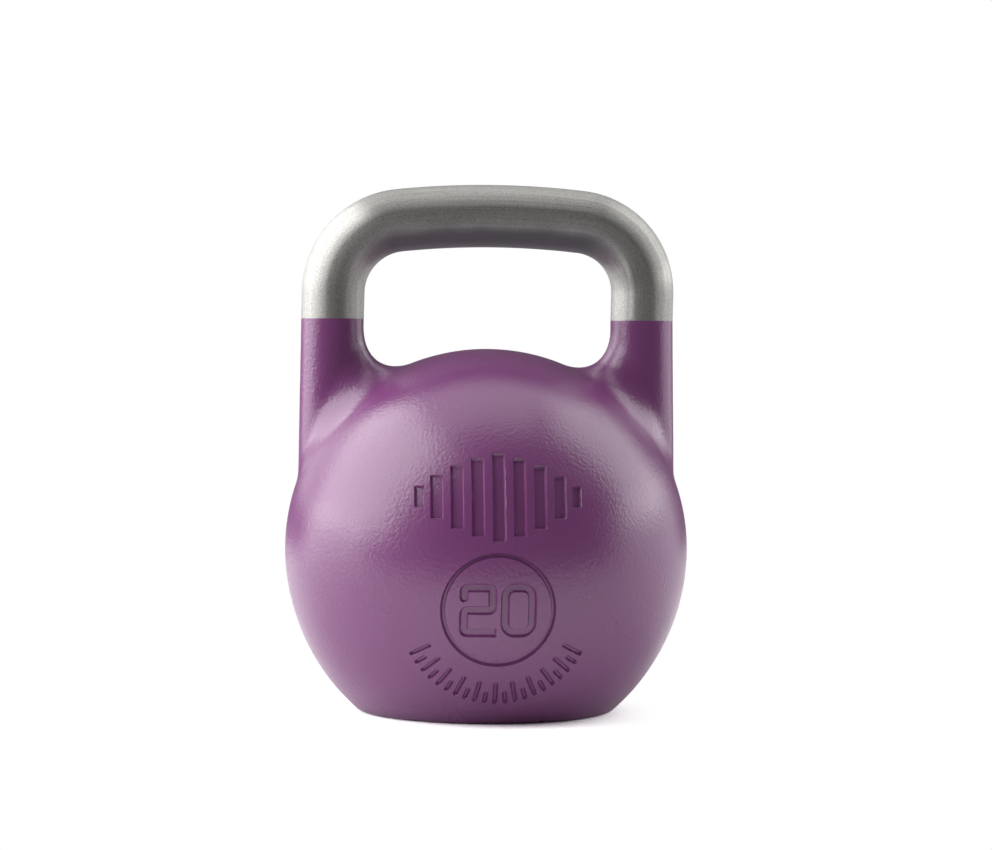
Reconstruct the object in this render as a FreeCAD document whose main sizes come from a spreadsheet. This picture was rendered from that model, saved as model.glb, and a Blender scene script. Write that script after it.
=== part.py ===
import FreeCAD, Part
import math
import os
import re

import Sketcher

# Competition kettlebell, 20 kg, in millimetres. +Z is up and +X runs along the handle.
# The origin is the middle of the foot, on the floor.
#
# A hollow steel casting carries two horns. A bent steel bar is plugged into the horns and
# welded. A cast iron core hangs on a stud inside the ball and brings the weight to 20 kg.
# A screwed plate with a gasket closes the foot.

NODE_FOLDER = "parts"
SIDES = {"left": -1, "right": 1}
TRIM_DISC_COUNT = 3
# Edges that lie flat are shorter than this in Z. Rounding in the kernel stays well below it.
FLAT_TOLERANCE = 0.5

# The driving sizes, each with its own cell and alias.
SIZES = {
    # Outside of the ball: flank arc below the equator, shoulder and crown arcs above it.
    "ball_radius": 105.0,
    "equator_height": 85.0,
    "crown_height": 188.8,
    "shoulder_radius": 103.0,
    "flank_radius": 112.2,
    "foot_edge_round": 1.5,
    # Casting.
    "wall_thickness": 12.4,
    "floor_thickness": 16.0,
    "opening_diameter": 96.0,
    "recess_diameter": 116.0,
    "recess_depth": 6.0,
    # Horns.
    "horn_lean": 0.825,
    "horn_top_spare": 6.0,
    "horn_root_length": 95.0,
    "horn_blend_radius": 18.0,
    # Handle bar: straight legs, two bends and a long shallow arch.
    "bar_diameter": 32.6,
    "leg_offset": 80.95,
    "butt_height": 204.0,
    "arch_height": 258.1,
    "arch_radius": 435.3,
    "bend_radius": 37.6,
    "spigot_diameter": 22.0,
    "spigot_length": 45.0,
    "spigot_chamfer": 1.5,
    "spigot_end_gap": 1.0,
    "weld_leg": 4.8,
    # Cuts that run past the metal.
    "cut_overlap": 1.0,
    "trim_diameter": 315.0,
    "trim_height": 45.0,
    # Boss and stud under the crown.
    "boss_diameter": 40.0,
    "boss_height": 158.0,
    "boss_length": 24.0,
    "stud_diameter": 12.0,
    "stud_engagement": 16.0,
    "stud_bottom": 8.0,
    # What hangs on the stud, from the boss down.
    "stud_bore": 13.0,
    "core_pad_diameter": 38.0,
    "core_pad_thickness": 2.0,
    "core_diameter": 92.0,
    "core_length": 112.8,
    "disc_diameter": 80.0,
    "disc_thickness": 4.0,
    "washer_diameter": 30.0,
    "washer_thickness": 2.5,
    "spring_washer_diameter": 21.0,
    "spring_washer_thickness": 3.0,
    "spring_washer_gap": 2.0,
    "nut_across_flats": 18.0,
    "nut_length": 10.0,
    "jam_nut_length": 6.0,
    # Closing plate in the foot.
    "plate_diameter": 115.4,
    "plate_thickness": 4.0,
    "plate_lift": 1.0,
    "gasket_bore": 98.0,
    "gasket_diameter": 115.0,
    "screw_circle": 106.0,
    "screw_count": 6.0,
    "screw_diameter": 5.0,
    "screw_hole_diameter": 5.5,
    "screw_head_diameter": 10.0,
    "screw_sink_margin": 0.2,
    "screw_length": 12.0,
    "screw_socket_radius": 1.73,
    "screw_socket_depth": 1.8,
    "thread_depth": 8.5,
}

doc = FreeCAD.newDocument("kettlebell")
sheet = doc.addObject("Spreadsheet::Sheet", "Sizes")
for row, (alias, size) in enumerate(SIZES.items(), start=1):
    sheet.set(f"A{row}", alias)
    sheet.set(f"B{row}", str(size))
    sheet.setAlias(f"B{row}", alias)
doc.recompute()


def sized(expression):
    """The expression with the sheet's name in front of every alias."""
    return re.sub(r"[a-z_]+", lambda word: "Sizes." + word[0] if word[0] in SIZES else word[0], expression)


def bind(target, prop, expression):
    """Ties a property to the sheet."""
    target.setExpression(prop, sized(expression))


def new_body(label):
    body = doc.addObject("PartDesign::Body", label)
    body.Label = label
    return body


def origin_feature(body, role):
    return next(part for part in body.Origin.OriginFeatures if part.Role == role)


def new_sketch(body, role, name, height="0", across="0"):
    """A sketch on one of the body's origin planes, lifted by height and moved by across."""
    sketch = body.newObject("Sketcher::SketchObject", f"{body.Name}_{name}")
    sketch.AttachmentSupport = [(origin_feature(body, role), "")]
    sketch.MapMode = "FlatFace"
    bind(sketch, "AttachmentOffset.Base.x", across)
    bind(sketch, "AttachmentOffset.Base.z", height)
    return sketch


def value(sketch, expression):
    return float(sketch.evalExpression(sized(expression)))


def hold(sketch, kind, geometry, point, expression):
    """A distance from the sketch's origin to a point of some geometry, tied to the sheet."""
    size = value(sketch, expression)
    index = sketch.addConstraint(Sketcher.Constraint(kind, -1, 1, geometry, point, size))
    bind(sketch, f"Constraints[{index}]", expression)


def add_circle(sketch, diameter, centre_x="0", centre_y="0"):
    """A circle whose centre and diameter follow the sheet."""
    centre = FreeCAD.Vector(value(sketch, centre_x), value(sketch, centre_y), 0)
    round_edge = Part.Circle(centre, FreeCAD.Vector(0, 0, 1), value(sketch, diameter) / 2)
    geometry = sketch.addGeometry(round_edge)
    for kind, place in (("DistanceX", centre_x), ("DistanceY", centre_y)):
        hold(sketch, kind, geometry, 3, place)
    index = sketch.addConstraint(Sketcher.Constraint("Diameter", geometry, value(sketch, diameter)))
    bind(sketch, f"Constraints[{index}]", diameter)


def add_polygon(sketch, corners):
    """A closed outline through corners, each an (x, y) pair of expressions."""
    points = [FreeCAD.Vector(value(sketch, x), value(sketch, y), 0) for x, y in corners]
    first = len(sketch.Geometry)
    for start, end in zip(points, points[1:] + points[:1]):
        sketch.addGeometry(Part.LineSegment(start, end))
    for step, (x, y) in enumerate(corners):
        before = first + (step - 1) % len(corners)
        sketch.addConstraint(Sketcher.Constraint("Coincident", before, 2, first + step, 1))
        hold(sketch, "DistanceX", first + step, 1, x)
        hold(sketch, "DistanceY", first + step, 1, y)


def feature(body, kind, name, sketch):
    """A feature of the body that reads one sketch."""
    made = body.newObject(f"PartDesign::{kind}", f"{body.Name}_{name}")
    made.Profile = sketch
    return made


def pad(body, name, sketch, length, down=False):
    made = feature(body, "Pad", name, sketch)
    bind(made, "Length", length)
    made.Reversed = down
    doc.recompute()
    return made


def pocket(body, name, sketch, length, upward):
    """Cuts from the sketch, up or down. The volume has to fall."""
    before = body.Shape.Volume
    made = feature(body, "Pocket", name, sketch)
    bind(made, "Length", length)
    made.Reversed = upward
    doc.recompute()
    require_less(body, name, before)
    return made


def turned(body, kind, name, sketch):
    """A Revolution or Groove of the sketch about the line straight up through its origin."""
    before = body.Shape.Volume if kind == "Groove" else 0.0
    made = feature(body, kind, name, sketch)
    made.ReferenceAxis = (sketch, ["V_Axis"])
    made.Angle = 360.0
    doc.recompute()
    if kind == "Groove":
        require_less(body, name, before)
    return made


def require_less(body, name, before):
    if body.Shape.Volume >= before:
        raise ValueError(f"{body.Label}: {name} cut nothing")


def repeat_round(body, originals, count):
    """A full circle of features about the vertical axis."""
    pattern = body.newObject("PartDesign::PolarPattern", f"{body.Name}_Circle")
    pattern.Originals = originals
    pattern.Axis = (origin_feature(body, "Z_Axis"), [""])
    pattern.Angle = 360.0
    bind(pattern, "Occurrences", count)
    body.Tip = pattern
    doc.recompute()
    return pattern


def dress_edges(body, kind, name, edges, prop, size):
    """A Fillet or Chamfer along the named edges of the body's present shape."""
    base = body.Tip
    made = body.newObject(f"PartDesign::{kind}", f"{body.Name}_{name}")
    made.Base = (base, edges)
    bind(made, prop, size)
    doc.recompute()
    return made


def ring_body(label, outer, inner, bottom, height):
    """A flat ring or a thick sleeve standing at height bottom."""
    body = new_body(label)
    sketch = new_sketch(body, "XY_Plane", "Section", height=bottom)
    add_circle(sketch, outer)
    add_circle(sketch, inner)
    pad(body, "Pad", sketch, height)
    return body


def arc(centre, radius, start, end):
    """An arc in a sketch, anticlockwise between two angles in radians."""
    circle = Part.Circle(centre, FreeCAD.Vector(0, 0, 1), radius)
    return Part.ArcOfCircle(circle, start, end)


def add_dome_outline(sketch, inset, bottom):
    """Half of the ball's section: floor, flank arc, shoulder arc, crown arc and middle line.

    inset moves the three arcs inwards about the same centres, for the cavity.
    """
    equator = value(sketch, "equator_height")
    floor = value(sketch, bottom)
    top = value(sketch, f"crown_height - {inset}")
    flank_centre = FreeCAD.Vector(value(sketch, "ball_radius - flank_radius"), equator, 0)
    flank_radius = value(sketch, f"flank_radius - {inset}")
    shoulder_centre = FreeCAD.Vector(value(sketch, "ball_radius - shoulder_radius"), equator, 0)
    shoulder_radius = value(sketch, f"shoulder_radius - {inset}")

    # The crown arc is centred on the middle line and meets the shoulder arc smoothly.
    spread = shoulder_centre.x
    spare = top - equator - shoulder_radius
    drop = (spread ** 2 - spare ** 2) / (2 * spare)
    crown_centre = FreeCAD.Vector(0, equator - drop, 0)
    crown_radius = top - crown_centre.y
    meeting = math.atan2(drop, spread)
    foot_angle = -math.asin((equator - floor) / flank_radius)
    foot = flank_centre.x + flank_radius * math.cos(foot_angle)

    low = FreeCAD.Vector(0, floor, 0)
    outline = [
        Part.LineSegment(low, FreeCAD.Vector(foot, floor, 0)),
        arc(flank_centre, flank_radius, foot_angle, 0),
        arc(shoulder_centre, shoulder_radius, 0, meeting),
        arc(crown_centre, crown_radius, meeting, math.pi / 2),
        Part.LineSegment(FreeCAD.Vector(0, top, 0), low),
    ]
    floor_line, flank, shoulder, crown, middle = sketch.addGeometry(outline)
    joints = ((floor_line, flank), (flank, shoulder), (crown, middle), (middle, floor_line))
    for before, after in joints:
        sketch.addConstraint(Sketcher.Constraint("Coincident", before, 2, after, 1))
    sketch.addConstraint(Sketcher.Constraint("Tangent", shoulder, 2, crown, 1))
    sketch.addConstraint(Sketcher.Constraint("Horizontal", floor_line))
    for geometry, point in ((floor_line, 1), (crown, 2), (crown, 3)):
        sketch.addConstraint(Sketcher.Constraint("PointOnObject", geometry, point, -2))
    hold(sketch, "DistanceY", floor_line, 1, bottom)
    hold(sketch, "DistanceX", flank, 3, "ball_radius - flank_radius")
    hold(sketch, "DistanceY", flank, 3, "equator_height")
    hold(sketch, "DistanceX", flank, 2, f"ball_radius - {inset}")
    hold(sketch, "DistanceY", flank, 2, "equator_height")
    hold(sketch, "DistanceX", shoulder, 3, "ball_radius - shoulder_radius")
    hold(sketch, "DistanceY", shoulder, 3, "equator_height")
    hold(sketch, "DistanceY", crown, 2, f"crown_height - {inset}")


def add_horn(body, name, side):
    """A round horn that leans outwards as it goes down into the ball."""
    across = f"{side} * leg_offset"
    top = "butt_height + horn_top_spare"
    sketch = new_sketch(body, "XY_Plane", f"Horn_{name}", height=top, across=across)
    offset = sketch.AttachmentOffset
    offset.Rotation = FreeCAD.Rotation(FreeCAD.Vector(0, 1, 0), -side * SIZES["horn_lean"])
    sketch.AttachmentOffset = offset
    bind(sketch, "AttachmentOffset.Rotation.Angle", f"horn_lean * {-side}")
    add_circle(sketch, "bar_diameter")
    pad(body, f"HornPad_{name}", sketch, "horn_root_length", down=True)


def edge_names(shape, wanted):
    """The names of the edges for which wanted(edge) is true."""
    return [f"Edge{number}" for number, edge in enumerate(shape.Edges, start=1) if wanted(edge)]


def is_horn_root(edge):
    """An edge where a horn runs into the ball. Unlike every other edge off the middle, it slopes."""
    box = edge.BoundBox
    off_middle = box.XMin > FLAT_TOLERANCE or box.XMax < -FLAT_TOLERANCE
    above_equator = box.ZMin > SIZES["equator_height"] + FLAT_TOLERANCE
    below_crown = box.ZMax < SIZES["crown_height"]
    return off_middle and above_equator and below_crown and box.ZLength > FLAT_TOLERANCE


def is_foot_edge(edge):
    """The circle round the outside of the foot, which is longer than the recess's circle."""
    recess_length = math.pi * SIZES["recess_diameter"]
    return edge.BoundBox.ZMax < FLAT_TOLERANCE and edge.Length > recess_length + FLAT_TOLERANCE


def is_spigot_tip(edge):
    """A circle round the end of one of the bar's spigots."""
    return edge.BoundBox.ZMax < SIZES["butt_height"] - SIZES["spigot_length"] + FLAT_TOLERANCE


def bevel_outline(overlap):
    """The triangle between a horn's bevel and the bar's butt face, enlarged by overlap."""
    inside = f"bar_diameter / 2 - weld_leg - {overlap}"
    outside = f"bar_diameter / 2 + {overlap}"
    top = f"butt_height + {overlap}"
    return [(inside, top), (outside, f"butt_height - weld_leg - {overlap}"), (outside, top)]


def build_ball_shell():
    """The hollow casting: ball, two horns, foot, closing recess and the boss for the stud."""
    body = new_body("ball_shell")
    profile = new_sketch(body, "YZ_Plane", "Outside")
    add_dome_outline(profile, "0", "0")
    turned(body, "Revolution", "Ball", profile)
    for name, side in SIDES.items():
        add_horn(body, name, side)

    above = new_sketch(body, "XY_Plane", "Above", height="butt_height")
    add_circle(above, "trim_diameter")
    pocket(body, "Trim", above, "trim_height", upward=True)

    for name, side in SIDES.items():
        across = f"{side} * leg_offset"
        bore = new_sketch(body, "XY_Plane", f"Bore_{name}", height="butt_height")
        add_circle(bore, "spigot_diameter", centre_x=across)
        pocket(body, f"BoreCut_{name}", bore, "spigot_length + spigot_end_gap", upward=False)
        bevel = new_sketch(body, "YZ_Plane", f"Bevel_{name}", height=across)
        add_polygon(bevel, bevel_outline("cut_overlap"))
        turned(body, "Groove", f"BevelCut_{name}", bevel)

    roots = edge_names(body.Shape, is_horn_root)
    dress_edges(body, "Fillet", "Blend", roots, "Radius", "horn_blend_radius")

    cavity = new_sketch(body, "YZ_Plane", "Cavity")
    add_dome_outline(cavity, "wall_thickness", "floor_thickness")
    turned(body, "Groove", "Hollow", cavity)

    boss = new_sketch(body, "XY_Plane", "Boss", height="boss_height")
    add_circle(boss, "boss_diameter")
    pad(body, "BossPad", boss, "boss_length")

    round_cuts = [
        ("Opening", "0", "opening_diameter", "floor_thickness"),
        ("Recess", "0", "recess_diameter", "recess_depth"),
        ("StudHole", "boss_height", "stud_diameter", "stud_engagement"),
    ]
    for name, height, diameter, depth in round_cuts:
        sketch = new_sketch(body, "XY_Plane", name, height=height)
        add_circle(sketch, diameter)
        pocket(body, f"{name}Cut", sketch, depth, upward=True)

    thread = new_sketch(body, "XY_Plane", "Thread", height="recess_depth")
    add_circle(thread, "screw_diameter", centre_x="screw_circle / 2")
    hole = pocket(body, "ThreadCut", thread, "thread_depth", upward=True)
    repeat_round(body, [hole], "screw_count")

    foot = edge_names(body.Shape, is_foot_edge)
    dress_edges(body, "Fillet", "FootEdge", foot, "Radius", "foot_edge_round")
    return body


def build_handle_weld(name, side):
    """The weld that fills a horn's bevel, ground flush with the bar."""
    body = new_body(f"handle_weld_{name}")
    section = new_sketch(body, "YZ_Plane", "Section", height=f"{side} * leg_offset")
    add_polygon(section, bevel_outline("0"))
    turned(body, "Revolution", "Weld", section)
    return body


def add_handle_path(sketch):
    """From one butt face to the other: leg, bend, arch, bend, leg."""
    butt = value(sketch, "butt_height")
    top = value(sketch, "arch_height")
    leg = value(sketch, "leg_offset")
    arch_radius = value(sketch, "arch_radius")
    bend_radius = value(sketch, "bend_radius")
    reach = leg - bend_radius
    between = arch_radius - bend_radius
    arch_centre = FreeCAD.Vector(0, top - arch_radius, 0)
    bend_height = arch_centre.y + math.sqrt(between ** 2 - reach ** 2)
    lean = math.asin(reach / between)

    left_bend = FreeCAD.Vector(-reach, bend_height, 0)
    right_bend = FreeCAD.Vector(reach, bend_height, 0)
    path = [
        Part.LineSegment(FreeCAD.Vector(-leg, butt, 0), FreeCAD.Vector(-leg, bend_height, 0)),
        arc(left_bend, bend_radius, math.pi / 2 + lean, math.pi),
        arc(arch_centre, arch_radius, math.pi / 2 - lean, math.pi / 2 + lean),
        arc(right_bend, bend_radius, 0, math.pi / 2 - lean),
        Part.LineSegment(FreeCAD.Vector(leg, bend_height, 0), FreeCAD.Vector(leg, butt, 0)),
    ]
    left_leg, left, arch, right, right_leg = sketch.addGeometry(path)
    smooth = ((left_leg, 2, left, 2), (left, 1, arch, 2), (arch, 1, right, 2), (right, 1, right_leg, 1))
    for joint in smooth:
        sketch.addConstraint(Sketcher.Constraint("Tangent", *joint))
    for line in (left_leg, right_leg):
        sketch.addConstraint(Sketcher.Constraint("Vertical", line))
    sketch.addConstraint(Sketcher.Constraint("PointOnObject", arch, 3, -2))
    hold(sketch, "DistanceX", left_leg, 1, "-1 * leg_offset")
    hold(sketch, "DistanceY", left_leg, 1, "butt_height")
    hold(sketch, "DistanceX", right_leg, 2, "leg_offset")
    hold(sketch, "DistanceY", right_leg, 2, "butt_height")
    hold(sketch, "DistanceY", arch, 3, "arch_height - arch_radius")
    for geometry, radius in ((left, "bend_radius"), (right, "bend_radius"), (arch, "arch_radius")):
        index = sketch.addConstraint(Sketcher.Constraint("Radius", geometry, value(sketch, radius)))
        bind(sketch, f"Constraints[{index}]", radius)


def build_handle_bar():
    """The bent steel bar, turned down at both ends to the spigots that plug into the horns."""
    body = new_body("handle_bar")
    path = new_sketch(body, "XZ_Plane", "Path")
    add_handle_path(path)
    section = new_sketch(body, "XY_Plane", "Section", height="butt_height", across="-1 * leg_offset")
    add_circle(section, "bar_diameter")
    pipe = feature(body, "AdditivePipe", "Bar", section)
    pipe.Spine = (path, [""])
    doc.recompute()
    for name, side in SIDES.items():
        sketch = new_sketch(body, "XY_Plane", f"Spigot_{name}", height="butt_height")
        add_circle(sketch, "spigot_diameter", centre_x=f"{side} * leg_offset")
        pad(body, f"SpigotPad_{name}", sketch, "spigot_length", down=True)
    tips = edge_names(body.Shape, is_spigot_tip)
    dress_edges(body, "Chamfer", "SpigotChamfer", tips, "Size", "spigot_chamfer")
    return body


def build_stud():
    """The threaded rod that hangs from the boss and carries the core."""
    body = new_body("ballast_stud")
    sketch = new_sketch(body, "XY_Plane", "Section", height="stud_bottom")
    add_circle(sketch, "stud_diameter")
    pad(body, "Pad", sketch, "boss_height + stud_engagement - stud_bottom")
    return body


def hexagon(radius):
    """The corners of a hexagon as pairs of expressions."""
    return [(f"{radius} * cos({turn} deg)", f"{radius} * sin({turn} deg)") for turn in range(0, 360, 60)]


def build_nut(label, top, length):
    """A hexagon nut on the stud, hanging down from height top."""
    body = new_body(label)
    sketch = new_sketch(body, "XY_Plane", "Hexagon", height=top)
    add_polygon(sketch, hexagon("nut_across_flats / 2 / cos(30 deg)"))
    add_circle(sketch, "stud_diameter")
    pad(body, "Pad", sketch, length, down=True)
    return body


def build_spring_washer(top):
    """A split lock washer, closed flat under the nut."""
    body = ring_body("spring_washer", "spring_washer_diameter", "stud_bore", top, "spring_washer_thickness")
    slit = new_sketch(body, "XY_Plane", "Slit", height=top)
    near = "-1 * spring_washer_gap / 2"
    far = "spring_washer_gap / 2"
    outside = "spring_washer_diameter / 2 + cut_overlap"
    add_polygon(slit, [("0", near), (outside, near), (outside, far), ("0", far)])
    pocket(body, "SlitCut", slit, "spring_washer_thickness", upward=True)
    return body


def build_hanging_stack():
    """Everything clamped between the boss and the lower nut, from the top down."""
    level = "boss_height - core_pad_thickness"
    ring_body("core_pad", "core_pad_diameter", "stud_bore", level, "core_pad_thickness")
    level = f"{level} - core_length"
    ring_body("ballast_core", "core_diameter", "stud_bore", level, "core_length")
    for number in range(1, TRIM_DISC_COUNT + 1):
        level = f"{level} - disc_thickness"
        ring_body(f"trim_disc_{number}", "disc_diameter", "stud_bore", level, "disc_thickness")
    level = f"{level} - washer_thickness"
    ring_body("plain_washer", "washer_diameter", "stud_bore", level, "washer_thickness")
    level = f"{level} - spring_washer_thickness"
    build_spring_washer(level)
    build_nut("ballast_nut", level, "nut_length")
    build_nut("jam_nut", f"{level} - nut_length", "jam_nut_length")


def build_base_plate():
    """The round steel cover in the foot, with countersunk screw holes."""
    body = new_body("base_plate")
    disc = new_sketch(body, "XY_Plane", "Disc", height="plate_lift")
    add_circle(disc, "plate_diameter")
    pad(body, "Pad", disc, "plate_thickness")
    sink = "screw_head_diameter / 2 + screw_sink_margin"
    hole = "screw_hole_diameter / 2"
    top = "plate_lift + plate_thickness + cut_overlap"
    outline = [
        ("0", "plate_lift"),
        (sink, "plate_lift"),
        (hole, f"plate_lift + {sink} - {hole}"),
        (hole, top),
        ("0", top),
    ]
    section = new_sketch(body, "YZ_Plane", "ScrewHole", height="screw_circle / 2")
    add_polygon(section, outline)
    cut = turned(body, "Groove", "ScrewHoleCut", section)
    repeat_round(body, [cut], "screw_count")
    return body


def build_base_gasket():
    """The flat rubber ring between the cover and the casting."""
    bottom = "plate_lift + plate_thickness"
    thickness = f"recess_depth - ({bottom})"
    body = ring_body("base_gasket", "gasket_diameter", "gasket_bore", bottom, thickness)
    sketch = new_sketch(body, "XY_Plane", "ScrewHole", height=bottom)
    add_circle(sketch, "screw_hole_diameter", centre_x="screw_circle / 2")
    cut = pocket(body, "ScrewHoleCut", sketch, thickness, upward=True)
    repeat_round(body, [cut], "screw_count")
    return body


def build_base_screws():
    """Six countersunk socket screws, separate solids in one node."""
    body = new_body("base_screws")
    head = "screw_head_diameter / 2"
    shank = "screw_diameter / 2"
    seat = "plate_lift + screw_sink_margin"
    outline = [
        ("0", seat),
        (head, seat),
        (shank, f"{seat} + {head} - {shank}"),
        (shank, f"{seat} + screw_length"),
        ("0", f"{seat} + screw_length"),
    ]
    section = new_sketch(body, "YZ_Plane", "Section", height="screw_circle / 2")
    add_polygon(section, outline)
    screw = turned(body, "Revolution", "Screw", section)
    socket = new_sketch(body, "XY_Plane", "Socket", height=seat, across="screw_circle / 2")
    add_polygon(socket, hexagon("screw_socket_radius"))
    cut = pocket(body, "SocketCut", socket, "screw_socket_depth", upward=True)
    repeat_round(body, [screw, cut], "screw_count")
    return body


def check_document():
    """Stops when any object failed or any piece is not a sound solid."""
    doc.recompute()
    for item in doc.Objects:
        if "Invalid" in item.State or "Error" in item.State:
            raise ValueError(f"{item.Name} failed: {item.State}")
    for body in doc.findObjects("PartDesign::Body"):
        if body.Shape.isNull() or not body.Shape.isValid() or not body.Shape.Solids:
            raise ValueError(f"{body.Label} is not a sound solid")


def write_pieces():
    os.makedirs(NODE_FOLDER, exist_ok=True)
    for body in doc.findObjects("PartDesign::Body"):
        body.Shape.exportStep(f"{NODE_FOLDER}/{body.Label}.step")
        print(body.Label, len(body.Shape.Solids), "solid(s),", round(body.Shape.Volume), "mm3")


build_ball_shell()
build_handle_bar()
for side_name, side_sign in SIDES.items():
    build_handle_weld(side_name, side_sign)
build_stud()
build_hanging_stack()
build_base_plate()
build_base_gasket()
build_base_screws()
check_document()
write_pieces()
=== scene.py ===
"""A 20 kg competition kettlebell on a pale floor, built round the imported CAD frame."""

import math

import bmesh
import bpy
import numpy as np
from mathutils import Matrix, Vector, noise


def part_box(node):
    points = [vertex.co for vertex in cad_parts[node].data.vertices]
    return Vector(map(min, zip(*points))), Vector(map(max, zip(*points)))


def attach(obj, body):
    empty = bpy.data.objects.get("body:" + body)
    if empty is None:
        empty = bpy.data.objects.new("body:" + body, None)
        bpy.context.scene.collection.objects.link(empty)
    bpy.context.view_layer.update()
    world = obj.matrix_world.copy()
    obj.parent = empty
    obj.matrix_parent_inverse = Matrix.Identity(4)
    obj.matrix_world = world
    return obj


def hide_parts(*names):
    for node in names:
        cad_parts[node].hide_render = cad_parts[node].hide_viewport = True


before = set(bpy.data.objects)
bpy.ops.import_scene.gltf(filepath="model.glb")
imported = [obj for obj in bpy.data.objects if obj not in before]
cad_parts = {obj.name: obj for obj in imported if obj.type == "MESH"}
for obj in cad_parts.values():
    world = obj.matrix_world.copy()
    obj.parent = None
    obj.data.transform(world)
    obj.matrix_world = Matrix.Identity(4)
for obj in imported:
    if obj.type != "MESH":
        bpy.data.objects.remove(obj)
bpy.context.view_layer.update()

# Mesh work is done in millimetres and scaled to metres when an object is made.
MM = 0.001


def cad_box(node):
    """The lowest and highest corners of a CAD node, in millimetres."""
    low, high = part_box(node)
    return np.array(low) / MM, np.array(high) / MM


# Sizes read from the frame.
shell_low, shell_high = cad_box("ball_shell")
handle_high = cad_box("handle_bar")[1]
BALL_RADIUS = shell_high[1]
BAR_RADIUS = handle_high[1]
LEG_X = handle_high[0] - BAR_RADIUS
ARCH_TOP = handle_high[2] - BAR_RADIUS
BUTT_HEIGHT = cad_box("handle_weld_left")[1][2]

# Sizes of the casting and the bar that a box doesn't tell. They are as in the CAD, but for the blend,
# which is half a millimetre larger.
EQUATOR = 85.0
CROWN = 188.8
SHOULDER_RADIUS = 103.0
FLANK_RADIUS = 112.2
FOOT_EDGE_ROUND = 1.5
RECESS_RADIUS = 58.0
RECESS_DEPTH = 6.0
RECESS_EDGE_ROUND = 0.6
HORN_LEAN = math.radians(0.825)
HORN_ROOT = 95.0
HORN_SPARE = 8.0
HORN_BLEND = 18.5
ARCH_RADIUS = 435.3
BEND_RADIUS = 37.6
# How far the bar is taken to lean to the right, as a share of the height above the paint line. It is
# a guess, and the CAD bar doesn't lean.
BAR_LEAN = 0.02

# ---------------------------------------------------------------- the casting's surface


def rounded_inside(a, b, radius):
    """The part inside both fields, with its edge rounded."""
    out = np.hypot(np.maximum(a + radius, 0), np.maximum(b + radius, 0))
    return np.minimum(np.maximum(a + radius, b + radius), 0) + out - radius


def ball_field(p):
    """Distance to the ball of revolution, and the direction away from it."""
    across = np.hypot(p[:, 0], p[:, 1])
    height = p[:, 2]
    spread = BALL_RADIUS - SHOULDER_RADIUS
    spare = CROWN - EQUATOR - SHOULDER_RADIUS
    drop = (spread ** 2 - spare ** 2) / (2 * spare)
    crown_centre = EQUATOR - drop
    low = height < EQUATOR
    crown = (height - crown_centre) * spread > across * drop
    centre_r = np.where(low, BALL_RADIUS - FLANK_RADIUS, np.where(crown, 0.0, spread))
    centre_z = np.where(~low & crown, crown_centre, EQUATOR)
    radius = np.where(low, FLANK_RADIUS, np.where(crown, CROWN - crown_centre, SHOULDER_RADIUS))
    out_r = across - centre_r
    out_z = height - centre_z
    length = np.maximum(np.hypot(out_r, out_z), 1e-6)
    level = np.maximum(across, 1e-6)
    normal = np.stack([out_r / length * p[:, 0] / level, out_r / length * p[:, 1] / level, out_z / length], 1)
    return length - radius, normal


def horn_field(p, side):
    """Distance to one leaning horn, which runs on up past the paint line."""
    axis = np.array([side * math.sin(HORN_LEAN), 0.0, -math.cos(HORN_LEAN)])
    offset = p - np.array([side * LEG_X, 0.0, BUTT_HEIGHT])
    along = offset @ axis
    away = offset - along[:, None] * axis
    length = np.maximum(np.linalg.norm(away, axis=1), 1e-6)
    ends = np.maximum(along - HORN_ROOT, -along - HORN_SPARE)
    return np.maximum(length - BAR_RADIUS, ends), away / length[:, None]


def casting_field(p):
    """The casting's outside: ball and horns with round blends, foot and recess."""
    ball, ball_normal = ball_field(p)
    whole = ball
    for side in (-1, 1):
        horn, horn_normal = horn_field(p, side)
        turn = 1 - np.sum(ball_normal * horn_normal, axis=1)
        blend = np.maximum(HORN_BLEND * turn, 0.5)
        inner = np.hypot(np.maximum(blend - ball, 0), np.maximum(blend - horn, 0))
        joined = np.maximum(blend, np.minimum(ball, horn)) - inner
        near = p[:, 0] * side > 0
        whole = np.where(near, joined, whole)
    whole = rounded_inside(whole, -p[:, 2], FOOT_EDGE_ROUND)
    across = np.hypot(p[:, 0], p[:, 1])
    recess = np.maximum(across - RECESS_RADIUS, p[:, 2] - RECESS_DEPTH)
    return rounded_inside(whole, -recess, RECESS_EDGE_ROUND)


def slope(field, p, step=0.02):
    """The field's gradient by differences."""
    columns = []
    for axis in range(3):
        shift = np.zeros(3)
        shift[axis] = step
        columns.append((field(p + shift) - field(p - shift)) / (2 * step))
    return np.stack(columns, 1)


def settle(field, p, rounds=4):
    """Moves points onto the surface of the field."""
    for _ in range(rounds):
        g = slope(field, p)
        p = p - g * (field(p) / np.maximum(np.sum(g * g, axis=1), 0.2))[:, None]
    return p


# ---------------------------------------------------------------- marks on the front

# How deep the marks are, how wide their walls, and how far their middle is to the side.
MARK_DEPTH = 1.55
MARK_WALL = 0.85
MARK_SIDE = -0.45
RING_HEIGHT = 60.4
RING_RADIUS = 27.45
RING_HALF_WIDTH = 1.3
DIGIT_HALF_HEIGHT = 13.55
DIGIT_HALF_STROKE = 2.25
TWO_CENTRE = -10.05
TWO_HALF_WIDTH = 9.3
ZERO_CENTRE = 10.0
ZERO_HALF_WIDTH = 9.0
DIGIT_CORNER = 4.8
TWO_CORNER = 0.42 * DIGIT_CORNER
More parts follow.
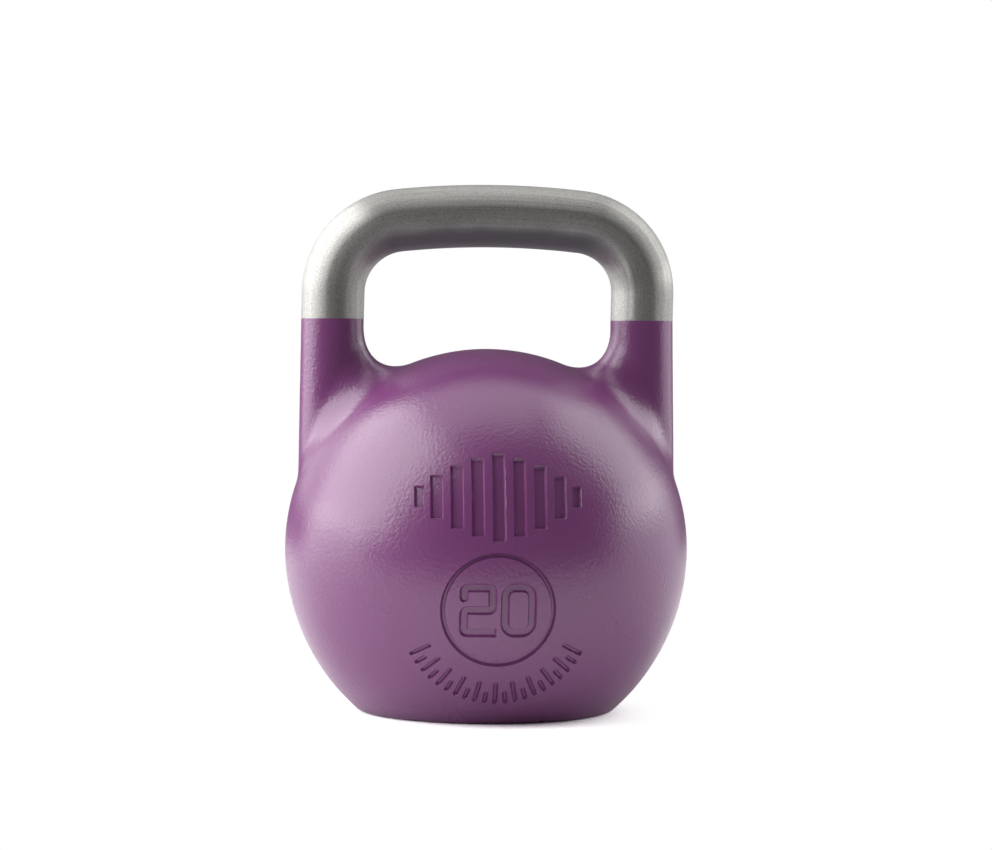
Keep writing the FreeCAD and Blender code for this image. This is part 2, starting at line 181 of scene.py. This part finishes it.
# How far up the hook at the start of the 2 begins, as a share of the digit's upper half.
TWO_HOOK = 0.55
TICK_STEP = math.radians(6.15)
TICK_COUNT = 21
TICK_OUT = 49.0
TICK_LONG = 12.0
TICK_SHORT = 7.0
TICK_HALF_WIDTH = 1.3
SIGN_HEIGHT = 115.9
SIGN_CORNER = 0.8
# The row of upright bars: half width, half height and distance from the middle of each.
SIGN_BARS = ((3.3, 21.6, 0.0), (3.3, 19.2, 10.3), (3.3, 15.6, 20.5), (3.2, 10.8, 30.5), (2.5, 5.4, 39.0))


def box_distance(u, v, half_u, half_v, corner):
    """Signed distance to a box with round corners."""
    du = np.abs(u) - half_u + corner
    dv = np.abs(v) - half_v + corner
    return np.hypot(np.maximum(du, 0), np.maximum(dv, 0)) + np.minimum(np.maximum(du, dv), 0) - corner


def line_distance(u, v, points):
    """Distance to a chain of straight lines."""
    nearest = np.full(u.shape, np.inf)
    for (u0, v0), (u1, v1) in zip(points, points[1:]):
        du, dv = u1 - u0, v1 - v0
        share = np.clip(((u - u0) * du + (v - v0) * dv) / (du * du + dv * dv), 0, 1)
        nearest = np.minimum(nearest, np.hypot(u - u0 - share * du, v - v0 - share * dv))
    return nearest


def rounded_chain(points, corner, steps=4):
    """The chain with an arc in place of each inner corner."""
    made = [points[0]]
    for before, here, after in zip(points, points[1:], points[2:]):
        here = np.array(here)
        back = np.array(before) - here
        on = np.array(after) - here
        start = here + back / np.linalg.norm(back) * corner
        end = here + on / np.linalg.norm(on) * corner
        for step in range(steps + 1):
            t = step / steps
            made.append(tuple((1 - t) ** 2 * start + 2 * t * (1 - t) * here + t * t * end))
    made.append(points[-1])
    return made


def mark_distance(u, v):
    """Signed distance to the nearest mark, in the front view. It is negative inside a mark."""
    u = u - MARK_SIDE
    ring_v = v - RING_HEIGHT
    ring = np.abs(np.hypot(u, ring_v) - RING_RADIUS) - RING_HALF_WIDTH

    right = TWO_HALF_WIDTH - DIGIT_HALF_STROKE
    top = DIGIT_HALF_HEIGHT - DIGIT_HALF_STROKE
    two_points = [
        (-right, TWO_HOOK * top), (-right, top), (right, top), (right, 0),
        (-right, 0), (-right, -top), (TWO_HALF_WIDTH, -top),
    ]
    two_chain = rounded_chain(two_points, TWO_CORNER)
    two = line_distance(u - TWO_CENTRE, ring_v, two_chain) - DIGIT_HALF_STROKE
    two = np.maximum(two, np.abs(u - TWO_CENTRE) - TWO_HALF_WIDTH)
    zero_half = ZERO_HALF_WIDTH - DIGIT_HALF_STROKE
    zero = np.abs(box_distance(u - ZERO_CENTRE, ring_v, zero_half, top, DIGIT_CORNER)) - DIGIT_HALF_STROKE
    nearest = np.minimum(ring, np.minimum(two, zero))

    for number in range(TICK_COUNT):
        angle = (number - TICK_COUNT // 2) * TICK_STEP
        length = TICK_LONG if number % 2 == 0 else TICK_SHORT
        ends = []
        for reach in (TICK_OUT - length + TICK_HALF_WIDTH, TICK_OUT - TICK_HALF_WIDTH):
            ends.append((reach * math.sin(angle), -reach * math.cos(angle)))
        nearest = np.minimum(nearest, line_distance(u, ring_v, ends) - TICK_HALF_WIDTH)

    for half_u, half_v, middle in SIGN_BARS:
        bar = box_distance(np.abs(u) - middle, v - SIGN_HEIGHT, half_u, half_v, SIGN_CORNER)
        nearest = np.minimum(nearest, bar)
    return nearest


def on_front(p):
    """Whether a point can carry a mark."""
    return (p[:, 1] < -0.4 * BALL_RADIUS) & (p[:, 2] < CROWN * 0.8)


def mark_depth(p):
    """How deep the marks are at each point of the casting."""
    depth = np.zeros(len(p))
    front = on_front(p)
    inside = np.clip(-mark_distance(p[front, 0], p[front, 2]) / MARK_WALL, 0, 1)
    depth[front] = MARK_DEPTH * inside * inside * (3 - 2 * inside)
    return depth


# ---------------------------------------------------------------- the casting's mesh

COARSE_CELL = 3.0
COARSE_EDGE = COARSE_CELL * 1.45
FINE_EDGE = 0.42
FOOT_FINE_EDGE = 0.55
# How fast edges grow away from a fine place, and where they start to.
EDGE_GROWTH = 0.5
MARK_EDGE_REACH = 0.25
FOOT_EDGE_REACH = 1.5
# An edge is split when it is this many times longer than wanted.
SPLIT_AT = 1.35


def wanted_edge(p):
    """The edge length that each place of the casting needs."""
    wanted = np.full(len(p), COARSE_EDGE)
    front = on_front(p)
    if front.any():
        gap = mark_distance(p[front, 0], p[front, 2])
        to_wall = np.abs(gap + MARK_WALL / 2) - MARK_WALL / 2
        fine = FINE_EDGE + EDGE_GROWTH * np.maximum(to_wall - MARK_EDGE_REACH, 0)
        wanted[front] = np.minimum(wanted[front], fine)
    across = np.hypot(p[:, 0], p[:, 1])
    foot = BALL_RADIUS - FLANK_RADIUS + math.sqrt(FLANK_RADIUS ** 2 - EQUATOR ** 2)
    for edge_radius, edge_height in ((foot, 0.0), (RECESS_RADIUS, 0.0), (RECESS_RADIUS, RECESS_DEPTH)):
        gap = np.hypot(across - edge_radius, p[:, 2] - edge_height)
        fine = FOOT_FINE_EDGE + EDGE_GROWTH * np.maximum(gap - FOOT_EDGE_REACH, 0)
        wanted = np.minimum(wanted, fine)
    return wanted


def net(field, low, high, cell):
    """A closed mesh near the field's surface: one point per grid cell that it crosses."""
    axes = [np.arange(a, b + cell, cell) for a, b in zip(low, high)]
    shape = [len(axis) for axis in axes]
    grid = np.stack(np.meshgrid(*axes, indexing="ij"), -1)
    values = field(grid.reshape(-1, 3)).reshape(shape)
    total = np.zeros([n - 1 for n in shape] + [3])
    count = np.zeros([n - 1 for n in shape])
    crossings = []
    for axis in range(3):
        first = [slice(None)] * 3
        second = [slice(None)] * 3
        first[axis] = slice(0, -1)
        second[axis] = slice(1, None)
        a, b = values[tuple(first)], values[tuple(second)]
        crossed = (a < 0) != (b < 0)
        share = np.where(crossed, a / np.where(crossed, a - b, 1), 0)
        point = grid[tuple(first)] + share[..., None] * (grid[tuple(second)] - grid[tuple(first)])
        crossings.append((crossed, a < 0))
        others = [n for n in range(3) if n != axis]
        for i in (0, 1):
            for j in (0, 1):
                part = [slice(None)] * 3
                for other, pick in zip(others, (i, j)):
                    part[other] = slice(0, -1) if pick == 0 else slice(1, None)
                mask = crossed[tuple(part)]
                total += np.where(mask[..., None], point[tuple(part)], 0)
                count += mask
    active = count > 0
    index = np.full(count.shape, -1)
    index[active] = np.arange(active.sum())
    points = total[active] / count[active][:, None]
    faces = []
    for axis, (crossed, outward) in enumerate(crossings):
        u, v = [n for n in range(3) if n != axis]
        where = np.argwhere(crossed)
        where = where[(where[:, u] > 0) & (where[:, v] > 0)]
        corners = []
        for du, dv in ((-1, -1), (0, -1), (0, 0), (-1, 0)):
            cell_at = where.copy()
            cell_at[:, u] += du
            cell_at[:, v] += dv
            corners.append(index[tuple(cell_at.T)])
        quads = np.stack(corners, 1)
        flip = outward[tuple(where.T)] == (axis == 1)
        quads[flip] = quads[flip][:, ::-1]
        faces.append(quads)
    return points, np.concatenate(faces)


def points_of(bm):
    return np.array([v.co for v in bm.verts], float).reshape(-1, 3)


def place(bm, points):
    for vertex, point in zip(bm.verts, points):
        vertex.co = point


def refine(bm, field, rounds):
    """Splits long edges until each is as short as its place needs."""
    for _ in range(rounds):
        bmesh.ops.triangulate(bm, faces=bm.faces[:])
        bm.verts.index_update()
        points = points_of(bm)
        pairs = np.array([[v.index for v in edge.verts] for edge in bm.edges])
        middle = (points[pairs[:, 0]] + points[pairs[:, 1]]) / 2
        length = np.linalg.norm(points[pairs[:, 0]] - points[pairs[:, 1]], axis=1)
        long = length > SPLIT_AT * wanted_edge(middle)
        if not long.any():
            return
        edges = [edge for edge, chosen in zip(bm.edges, long) if chosen]
        bmesh.ops.subdivide_edges(bm, edges=edges, cuts=1, use_grid_fill=True)
        bmesh.ops.triangulate(bm, faces=bm.faces[:])
        place(bm, settle(field, points_of(bm), 2))


def relax(bm, field, rounds):
    """Evens out the triangles along the surface."""
    bm.verts.index_update()
    pairs = np.array([[v.index for v in edge.verts] for edge in bm.edges])
    for _ in range(rounds):
        points = points_of(bm)
        total = np.zeros_like(points)
        count = np.zeros(len(points))
        for a, b in ((0, 1), (1, 0)):
            np.add.at(total, pairs[:, a], points[pairs[:, b]])
            np.add.at(count, pairs[:, a], 1)
        moved = points + 0.5 * (total / count[:, None] - points)
        place(bm, settle(field, moved, 2))


def snap_to_marks(points):
    """Moves points near the top and bottom edges of the marks onto them."""
    points = points.copy()
    front = np.flatnonzero(on_front(points))
    u, v = points[front, 0], points[front, 2]
    gap = mark_distance(u, v)
    step = 0.02
    slope_u = (mark_distance(u + step, v) - mark_distance(u - step, v)) / (2 * step)
    slope_v = (mark_distance(u, v + step) - mark_distance(u, v - step)) / (2 * step)
    level = np.where(gap > -MARK_WALL / 2, 0.0, -MARK_WALL)
    move = np.where(np.abs(gap - level) < 0.5 * FINE_EDGE, level - gap, 0)
    points[front, 0] += move * slope_u
    points[front, 2] += move * slope_v
    return points


# The size of each wave and its height, in millimetres.
CAST_WAVES = ((30.0, 0.10), (12.0, 0.015))


def cast_unevenness(points):
    """The slow waves that a sand casting keeps under its paint, in millimetres."""
    height = np.zeros(len(points))
    for size, amount in CAST_WAVES:
        height += [amount * noise.noise(Vector(point) / size) for point in points]
    return height


def mesh_object(name, points, faces, material, smooth_angle=math.radians(35)):
    """A smooth-shaded object in metres from points in millimetres."""
    mesh = bpy.data.meshes.new(name)
    mesh.from_pydata([tuple(point * MM) for point in points], [], faces)
    mesh.polygons.foreach_set("use_smooth", [True] * len(mesh.polygons))
    mesh.set_sharp_from_angle(angle=smooth_angle)
    mesh.materials.append(material)
    made = bpy.data.objects.new(name, mesh)
    bpy.context.scene.collection.objects.link(made)
    return made


def build_casting(material):
    """The painted ball with its horns, foot, recess and marks."""
    margin = 2 * COARSE_CELL
    low = shell_low - margin
    high = shell_high + margin
    high[2] = BUTT_HEIGHT + HORN_SPARE + margin
    points, quads = net(casting_field, low, high, COARSE_CELL)
    points = settle(casting_field, points, 3)
    bm = bmesh.new()
    for point in points:
        bm.verts.new(point)
    bm.verts.ensure_lookup_table()
    for quad in quads:
        bm.faces.new([bm.verts[i] for i in quad])
    relax(bm, casting_field, 3)
    refine(bm, casting_field, 6)
    relax(bm, casting_field, 2)
    points = snap_to_marks(points_of(bm))
    points = settle(casting_field, points, 2)
    place(bm, points)

    cut = bm.verts[:] + bm.edges[:] + bm.faces[:]
    top = Vector((0, 0, BUTT_HEIGHT))
    bmesh.ops.bisect_plane(bm, geom=cut, plane_co=top, plane_no=(0, 0, 1), clear_outer=True)
    rim = [edge for edge in bm.edges if edge.is_boundary]
    bmesh.ops.holes_fill(bm, edges=rim)
    bmesh.ops.triangulate(bm, faces=bm.faces[:])
    bmesh.ops.recalc_face_normals(bm, faces=bm.faces[:])

    points = points_of(bm)
    normals = slope(casting_field, points)
    normals /= np.maximum(np.linalg.norm(normals, axis=1), 1e-6)[:, None]
    raised = cast_unevenness(points)
    below_butt = np.clip((BUTT_HEIGHT - points[:, 2]) / BAR_RADIUS, 0, 1)
    above_foot = np.clip(points[:, 2] / FOOT_EDGE_ROUND, 0, 1)
    fade = below_butt * above_foot
    points = points + normals * (raised * fade - mark_depth(points))[:, None]
    place(bm, points)
    bm.verts.index_update()
    faces = [[v.index for v in face.verts] for face in bm.faces]
    made = mesh_object("painted_casting", points, faces, material)
    bm.free()
    print("casting:", len(points), "points", len(faces), "faces")
    return made


# ---------------------------------------------------------------- the handle

PATH_STEP = 1.6
SECTION_POINTS = 144
# Flats taken to be left by grinding, turned from the bar's outer side towards the front and the
# back: middle of the flat, half its width, and the flat's own radius. This is a guess.
FLATS = ((45.0, 30.0, 21.5), (141.0, 31.0, 22.5))
FLAT_EDGE = 0.15


def handle_path():
    """Points along the bar's middle with the direction that points out of the bend."""
    reach = LEG_X - BEND_RADIUS
    between = ARCH_RADIUS - BEND_RADIUS
    arch_centre = np.array([0.0, ARCH_TOP - ARCH_RADIUS])
    bend_height = arch_centre[1] + math.sqrt(between ** 2 - reach ** 2)
    lean = math.asin(reach / between)
    half = []
    leg = bend_height - BUTT_HEIGHT
    for step in range(math.ceil(leg / PATH_STEP)):
        height = BUTT_HEIGHT + leg * step / math.ceil(leg / PATH_STEP)
        half.append((LEG_X, height, 1.0, 0.0))
    steps = math.ceil((math.pi / 2 - lean) * BEND_RADIUS / PATH_STEP)
    for step in range(steps):
        angle = (math.pi / 2 - lean) * step / steps
        out = (math.cos(angle), math.sin(angle))
        half.append((reach + BEND_RADIUS * out[0], bend_height + BEND_RADIUS * out[1], *out))
    steps = math.ceil(lean * ARCH_RADIUS / PATH_STEP)
    for step in range(steps + 1):
        angle = lean * (1 - step / steps)
        out = (math.sin(angle), math.cos(angle))
        half.append((ARCH_RADIUS * out[0], arch_centre[1] + ARCH_RADIUS * out[1], *out))
    half = np.array(half)
    other = half[:-1][::-1] * np.array([-1, 1, -1, 1])
    whole = np.concatenate([half, other])
    whole[:, 0] += BAR_LEAN * (whole[:, 1] - BUTT_HEIGHT)
    return whole


def section_radius(angle):
    """The bar's radius at an angle from its outer side, with the ground flats."""
    radius = np.full(angle.shape, float(BAR_RADIUS))
    for middle, half, flat_radius in FLATS:
        half = math.radians(half)
        beside = BAR_RADIUS * math.sin(half)
        centre = math.sqrt(flat_radius ** 2 - beside ** 2) - BAR_RADIUS * math.cos(half)
        for side in (-1, 1):
            turned = angle - side * math.radians(middle)
            along = -centre * np.cos(turned)
            reach = along + np.sqrt(np.maximum(flat_radius ** 2 - (centre * np.sin(turned)) ** 2, 0))
            mix = np.clip(0.5 + 0.5 * (radius - reach) / FLAT_EDGE, 0, 1)
            radius = radius * (1 - mix) + reach * mix - FLAT_EDGE * mix * (1 - mix)
    return radius


def build_handle(material):
    """The bare ground bar between the two paint lines."""
    path = handle_path()
    angle = np.linspace(0, 2 * math.pi, SECTION_POINTS, endpoint=False)
    around = (angle + math.pi) % (2 * math.pi) - math.pi
    radius = section_radius(around)
    rows = []
    travelled = [0.0]
    for before, here in zip(path, path[1:]):
        travelled.append(travelled[-1] + math.hypot(*(here[:2] - before[:2])))
    for x, z, out_x, out_z in path:
        ring = np.stack([
            x + radius * np.cos(angle) * out_x,
            -radius * np.sin(angle),
            z + radius * np.cos(angle) * out_z,
        ], 1)
        rows.append(ring)
    points = np.concatenate(rows)
    faces = []
    count = SECTION_POINTS
    for row in range(len(path) - 1):
        here, above = row * count, (row + 1) * count
        for n in range(count):
            after = (n + 1) % count
            faces.append((here + n, above + n, above + after, here + after))
    faces.append(tuple(range(count)))
    faces.append(tuple(reversed(range((len(path) - 1) * count, len(path) * count))))
    made = mesh_object("steel_handle", points, faces, material, smooth_angle=math.radians(50))
    layer = made.data.uv_layers.new(name="bar")
    for polygon in made.data.polygons:
        corners = [(made.data.loops[i].vertex_index, i) for i in polygon.loop_indices]
        columns = [vertex % count for vertex, _ in corners]
        wraps = max(columns) - min(columns) > 1 and len(corners) == 4
        for (vertex, loop), column in zip(corners, columns):
            turn = column + count if wraps and column == 0 else column
            from_middle = travelled[vertex // count] - travelled[-1] / 2
            layer.data[loop].uv = (from_middle * MM, turn / count * 2 * math.pi * BAR_RADIUS * MM)
    print("handle:", len(points), "points", len(faces), "faces")
    return made


# ---------------------------------------------------------------- materials


def srgb(red, green, blue):
    """A linear colour from its usual 0-255 values."""
    linear = []
    for part in (red, green, blue):
        part /= 255
        linear.append(part / 12.92 if part <= 0.04045 else ((part + 0.055) / 1.055) ** 2.4)
    return (*linear, 1.0)


class Paint:
    """Builds one material's nodes."""

    def __init__(self, name, **values):
        self.material = bpy.data.materials.new(name)
        self.material.use_nodes = True
        self.nodes = self.material.node_tree.nodes
        self.links = self.material.node_tree.links
        self.shader = self.nodes["Principled BSDF"]
        for key, value in values.items():
            self.shader.inputs[key.replace("_", " ")].default_value = value

    def node(self, kind, links=None, **settings):
        made = self.nodes.new(kind)
        for key, value in settings.items():
            setattr(made, key, value)
        for key, value in (links or {}).items():
            if isinstance(value, bpy.types.NodeSocket):
                self.links.new(value, made.inputs[key])
            else:
                made.inputs[key].default_value = value
        return made

    def noise(self, where, scale, detail=2.0, roughness=0.5, kind="FBM"):
        links = {"Vector": where, "Scale": scale, "Detail": detail, "Roughness": roughness}
        return self.node("ShaderNodeTexNoise", links, noise_type=kind).outputs["Fac"]

    def stretch(self, where, along, across):
        links = {"Vector": where, "Scale": (along, across, 1.0)}
        return self.node("ShaderNodeMapping", links).outputs["Vector"]

    def ramp(self, value, low, high, to_low=0.0, to_high=1.0, smooth=True):
        links = {"Value": value, "From Min": low, "From Max": high, "To Min": to_low, "To Max": to_high}
        kind = "SMOOTHSTEP" if smooth else "LINEAR"
        return self.node("ShaderNodeMapRange", links, interpolation_type=kind).outputs["Result"]

    def math(self, operation, a, b=0.0, clamp=False):
        made = self.node("ShaderNodeMath", {0: a, 1: b}, operation=operation)
        made.use_clamp = clamp
        return made.outputs["Value"]

    def mix(self, share, a, b):
        made = self.node("ShaderNodeMix", data_type="RGBA")
        for index, value in ((0, share), (6, a), (7, b)):
            if isinstance(value, bpy.types.NodeSocket):
                self.links.new(value, made.inputs[index])
            else:
                made.inputs[index].default_value = value
        return made.outputs[2]

    def bump(self, height, distance, strength=1.0, under=None):
        links = {"Height": height, "Distance": distance, "Strength": strength}
        if under is not None:
            links["Normal"] = under
        return self.node("ShaderNodeBump", links).outputs["Normal"]

    def give(self, **sockets):
        for key, value in sockets.items():
            self.links.new(value, self.shader.inputs[key.replace("_", " ")])


def purple_paint():
    """Glossy purple enamel with a fine orange peel over a sand casting."""
    paint = Paint("purple_enamel", Specular_IOR_Level=0.78, IOR=1.5)
    where = paint.node("ShaderNodeTexCoord").outputs["Object"]
    cloud = paint.noise(where, 30.0, 3.0)
    pebble = paint.ramp(paint.noise(where, 620.0, 1.5, 0.45), 0.3, 0.72, smooth=False)
    grain = paint.noise(where, 1500.0, 2.0)
    colour = paint.mix(cloud, (0.16, 0.037, 0.146, 1.0), (0.173, 0.042, 0.157, 1.0))
    rough = paint.ramp(cloud, 0.3, 0.7, 0.27, 0.32)
    normal = paint.bump(pebble, 0.00007)
    normal = paint.bump(grain, 0.00001, under=normal)
    paint.give(Base_Color=colour, Roughness=rough, Normal=normal)
    return paint.material


# Where shade is painted on the bar's underside as a darker, less metallic grey: metres from its lowest
# line and from its middle, and how much the edge wanders.
PAINTED_SHADE_FROM_UNDER = (0.029, 0.018)
PAINTED_SHADE_FROM_MIDDLE = (0.085, 0.05)
PAINTED_SHADE_WANDER = 0.006


def ground_steel():
    """Bare steel that was ground along the bar, with shade painted on the underside of the arch."""
    steel = Paint("ground_steel_bar", Anisotropic=0.75, Anisotropic_Rotation=0.25)
    along = steel.node("ShaderNodeUVMap", uv_map="bar").outputs["UV"]
    fine = steel.noise(steel.stretch(along, 16.0, 1100.0), 1.0, 4.0, 0.6)
    broad = steel.noise(steel.stretch(along, 6.0, 260.0), 1.0, 3.0)
    where = steel.node("ShaderNodeTexCoord").outputs["Object"]
    cloud = steel.noise(where, 60.0, 3.0)
    speckle = steel.noise(where, 1400.0, 2.0, 0.6)
    shade = steel.math("MULTIPLY_ADD", fine, 0.6)
    steel.links.new(speckle, shade.node.inputs[2])
    clean = steel.mix(steel.ramp(shade, 0.5, 1.1), (0.28, 0.275, 0.262, 1.0), (0.47, 0.463, 0.445, 1.0))
    on_bar = steel.node("ShaderNodeSeparateXYZ", {0: along}).outputs
    from_middle = steel.math("ABSOLUTE", on_bar["X"])
    from_under = steel.math("ABSOLUTE", steel.math("SUBTRACT", on_bar["Y"], math.pi * BAR_RADIUS * MM))
    ragged = steel.math("MULTIPLY_ADD", cloud, PAINTED_SHADE_WANDER)
    steel.links.new(from_under, ragged.node.inputs[2])
    near_under = steel.ramp(ragged, *PAINTED_SHADE_FROM_UNDER)
    near_middle = steel.ramp(from_middle, *PAINTED_SHADE_FROM_MIDDLE)
    # Painted shade: a darker, less metallic grey along the underside of the arch's middle.
    painted_shade = steel.math("MULTIPLY", near_under, near_middle)
    colour = steel.mix(painted_shade, clean, (0.13, 0.133, 0.137, 1.0))
    metallic = steel.ramp(painted_shade, 0.0, 1.0, 0.92, 0.35)
    rough = steel.ramp(broad, 0.3, 0.7, 0.38, 0.48)
    brushed = steel.node("ShaderNodeTangent", direction_type="UV_MAP", uv_map="bar").outputs["Tangent"]
    normal = steel.bump(fine, 0.00004)
    normal = steel.bump(broad, 0.00003, under=normal)
    normal = steel.bump(speckle, 0.00002, under=normal)
    steel.give(Base_Color=colour, Metallic=metallic, Roughness=rough, Normal=normal, Tangent=brushed)
    return steel.material


def plain_finish(name, dark, light, rough_low, rough_high, metallic, grain_size, grain_depth):
    """A mottled, slightly rough finish for the smaller pieces."""
    finish = Paint(name, Metallic=metallic)
    where = finish.node("ShaderNodeTexCoord").outputs["Object"]
    cloud = finish.noise(where, 120.0, 4.0)
    grain = finish.noise(where, grain_size, 3.0)
    colour = finish.mix(finish.ramp(cloud, 0.3, 0.7), dark, light)
    rough = finish.ramp(cloud, 0.3, 0.7, rough_low, rough_high)
    finish.give(Base_Color=colour, Roughness=rough, Normal=finish.bump(grain, grain_depth))
    return finish.material


def finish_inner_pieces():
    """Materials for the CAD pieces that show as they are: the foot's cover and what hangs inside."""
    zinc_pieces = (
        "ballast_stud", "trim_disc_1", "trim_disc_2", "trim_disc_3", "plain_washer", "spring_washer",
        "ballast_nut", "jam_nut",
    )
    # The name, the two greys, the roughness range, how metallic, the grain's scale and its depth.
    finishes = (
        (zinc_pieces, "zinc_plate", (150, 152, 155), (190, 192, 196), 0.25, 0.4, 1.0, 900.0, 0.00001),
        (("ballast_core",), "cast_iron_core", (52, 50, 48), (84, 80, 76), 0.55, 0.75, 0.8, 500.0, 0.00012),
        (("core_pad", "base_gasket"), "black_rubber_sheet", (18, 18, 19), (32, 32, 33), 0.65, 0.85, 0.0,
         1200.0, 0.00003),
        (("base_plate",), "black_powder_coat", (22, 22, 24), (34, 34, 36), 0.4, 0.55, 0.0, 1100.0, 0.00005),
        (("base_screws",), "black_oxide_screw", (30, 30, 33), (50, 50, 54), 0.28, 0.42, 1.0, 1500.0, 0.00001),
    )
    for names, title, dark, light, *rest in finishes:
        material = plain_finish(title, srgb(*dark), srgb(*light), *rest)
        for name in names:
            shown = bpy.data.objects[name]
            shown.data.materials.clear()
            shown.data.materials.append(material)


# ---------------------------------------------------------------- the object

casting = build_casting(purple_paint())
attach(casting, "root")
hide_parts("ball_shell", "handle_weld_left", "handle_weld_right")

handle = build_handle(ground_steel())
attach(handle, "root")
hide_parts("handle_bar")

finish_inner_pieces()

# ---------------------------------------------------------------- floor, light and camera

CAMERA_DISTANCE = 1.6
CAMERA_SIDE = math.radians(-3.9)
CAMERA_HEIGHT = 0.19
CAMERA_TILT = math.radians(0.4)
LENS = 111.0
SENSOR_WIDTH = 36.0
AIM_HEIGHT = 0.149
AIM_SIDE = 0.0048

# The floor ends close in front, so that the object's front doesn't reflect it.
FLOOR_REACH = 15.0
FLOOR_FRONT = 0.42
# What only the camera sees of the floor: a colour brighter than the real one near the object, and
# plain white between these distances and beyond, sooner to the sides.
FLOOR_BLEACH = 1.7
WHITE_STARTS = 0.075
WHITE_FULL = 0.15
FLOOR_SQUEEZE = (1.6, 1.0, 1.0)

LAMP_DISTANCE = 1.6
LAMP_AIM = 0.14
ROOM_FILL = 0.13
# Name, azimuth, elevation, width, height and radiance.
LAMPS = (
    ("left_key", -89, 35, 2.0, 1.8, 4.3),
    ("left_low", -100, 1, 1.6, 0.5, 2.4),
    ("left_back", -140, 25, 0.8, 1.2, 1.3),
    ("right_key", 103, 36, 1.2, 1.7, 2.6),
    ("right_wide", 104, 6, 1.9, 0.6, 1.3),
    ("top", 180, 80, 1.3, 1.7, 1.5),
)


def build_floor():
    """A pale table top that ends in front of the object.

    The camera sees it bleach to white, as on a light table, and sees through it from below.
    """
    paint = Paint("pale_floor")
    where = paint.node("ShaderNodeTexCoord").outputs["Object"]
    sees = paint.node("ShaderNodeLightPath").outputs["Is Camera Ray"]
    cloud = paint.noise(where, 3.0)
    plain = paint.mix(cloud, (0.84, 0.84, 0.84, 1.0), (0.87, 0.87, 0.87, 1.0))
    colour = paint.mix(sees, plain, (FLOOR_BLEACH, FLOOR_BLEACH, FLOOR_BLEACH, 1.0))
    lit = paint.node("ShaderNodeBsdfDiffuse", {"Color": colour}).outputs["BSDF"]
    white = paint.node("ShaderNodeEmission", {"Color": (1.0, 1.0, 1.0, 1.0)}).outputs["Emission"]
    squeeze = {0: where, 1: FLOOR_SQUEEZE}
    wide = paint.node("ShaderNodeVectorMath", squeeze, operation="MULTIPLY").outputs["Vector"]
    away = paint.node("ShaderNodeVectorMath", {0: wide}, operation="LENGTH").outputs["Value"]
    far = paint.math("MULTIPLY", paint.ramp(away, WHITE_STARTS, WHITE_FULL), sees)
    both = paint.node("ShaderNodeMixShader", {0: far, 1: lit, 2: white}).outputs["Shader"]
    under = paint.node("ShaderNodeNewGeometry").outputs["Backfacing"]
    clear = paint.node("ShaderNodeBsdfTransparent").outputs["BSDF"]
    shown = paint.node("ShaderNodeMixShader", {0: under, 1: both, 2: clear}).outputs["Shader"]
    paint.links.new(shown, paint.nodes["Material Output"].inputs["Surface"])
    corners = [
        (-FLOOR_REACH, -FLOOR_FRONT, 0), (FLOOR_REACH, -FLOOR_FRONT, 0),
        (FLOOR_REACH, FLOOR_REACH, 0), (-FLOOR_REACH, FLOOR_REACH, 0),
    ]
    mesh = bpy.data.meshes.new("floor")
    mesh.from_pydata(corners, [], [(0, 1, 2, 3)])
    mesh.materials.append(paint.material)
    floor = bpy.data.objects.new("floor", mesh)
    bpy.context.scene.collection.objects.link(floor)


def softbox(name, azimuth, elevation, width, height, radiance):
    """A rectangular lamp that faces the object. Azimuth 0 is in front and 90 is to the right."""
    turn = math.radians(azimuth)
    lift = math.radians(elevation)
    out = Vector((math.sin(turn) * math.cos(lift), -math.cos(turn) * math.cos(lift), math.sin(lift)))
    light = bpy.data.lights.new(name, "AREA")
    light.shape = "RECTANGLE"
    light.size = width
    light.size_y = height
    light.energy = radiance * width * height * math.pi
    made = bpy.data.objects.new(name, light)
    made.location = Vector((0, 0, LAMP_AIM)) + LAMP_DISTANCE * out
    made.rotation_euler = (-out).to_track_quat("-Z", "Y").to_euler()
    bpy.context.scene.collection.objects.link(made)


def build_camera():
    """A long lens at the height of the ball's top, a little to the left."""
    side = Vector((math.cos(CAMERA_SIDE), math.sin(CAMERA_SIDE), 0))
    back = Vector((math.sin(CAMERA_SIDE), -math.cos(CAMERA_SIDE), 0))
    place_at = CAMERA_DISTANCE * back + Vector((0, 0, CAMERA_HEIGHT))
    aim_at = side * AIM_SIDE + Vector((0, 0, AIM_HEIGHT))
    camera = bpy.data.cameras.new("camera")
    camera.lens = LENS
    camera.sensor_width = SENSOR_WIDTH
    made = bpy.data.objects.new("camera", camera)
    turn = (aim_at - place_at).to_track_quat("-Z", "Y").to_matrix().to_4x4()
    made.matrix_world = Matrix.Translation(place_at) @ turn @ Matrix.Rotation(CAMERA_TILT, 4, "Z")
    bpy.context.scene.collection.objects.link(made)
    bpy.context.scene.camera = made


def build_world(fill):
    """White behind the object, and a dim room around it for light and reflections."""
    world = bpy.data.worlds.new("studio")
    bpy.context.scene.world = world
    world.use_nodes = True
    nodes = world.node_tree.nodes
    links = world.node_tree.links
    room = nodes["Background"]
    room.inputs["Color"].default_value = (fill, fill, fill, 1)
    white = nodes.new("ShaderNodeBackground")
    white.inputs["Color"].default_value = (1, 1, 1, 1)
    path = nodes.new("ShaderNodeLightPath")
    either = nodes.new("ShaderNodeMixShader")
    links.new(path.outputs["Is Camera Ray"], either.inputs[0])
    links.new(room.outputs[0], either.inputs[1])
    links.new(white.outputs[0], either.inputs[2])
    links.new(either.outputs[0], nodes["World Output"].inputs["Surface"])


bpy.context.scene.view_settings.view_transform = "Standard"
build_floor()
build_camera()
build_world(ROOM_FILL)
for lamp in LAMPS:
    softbox(*lamp)
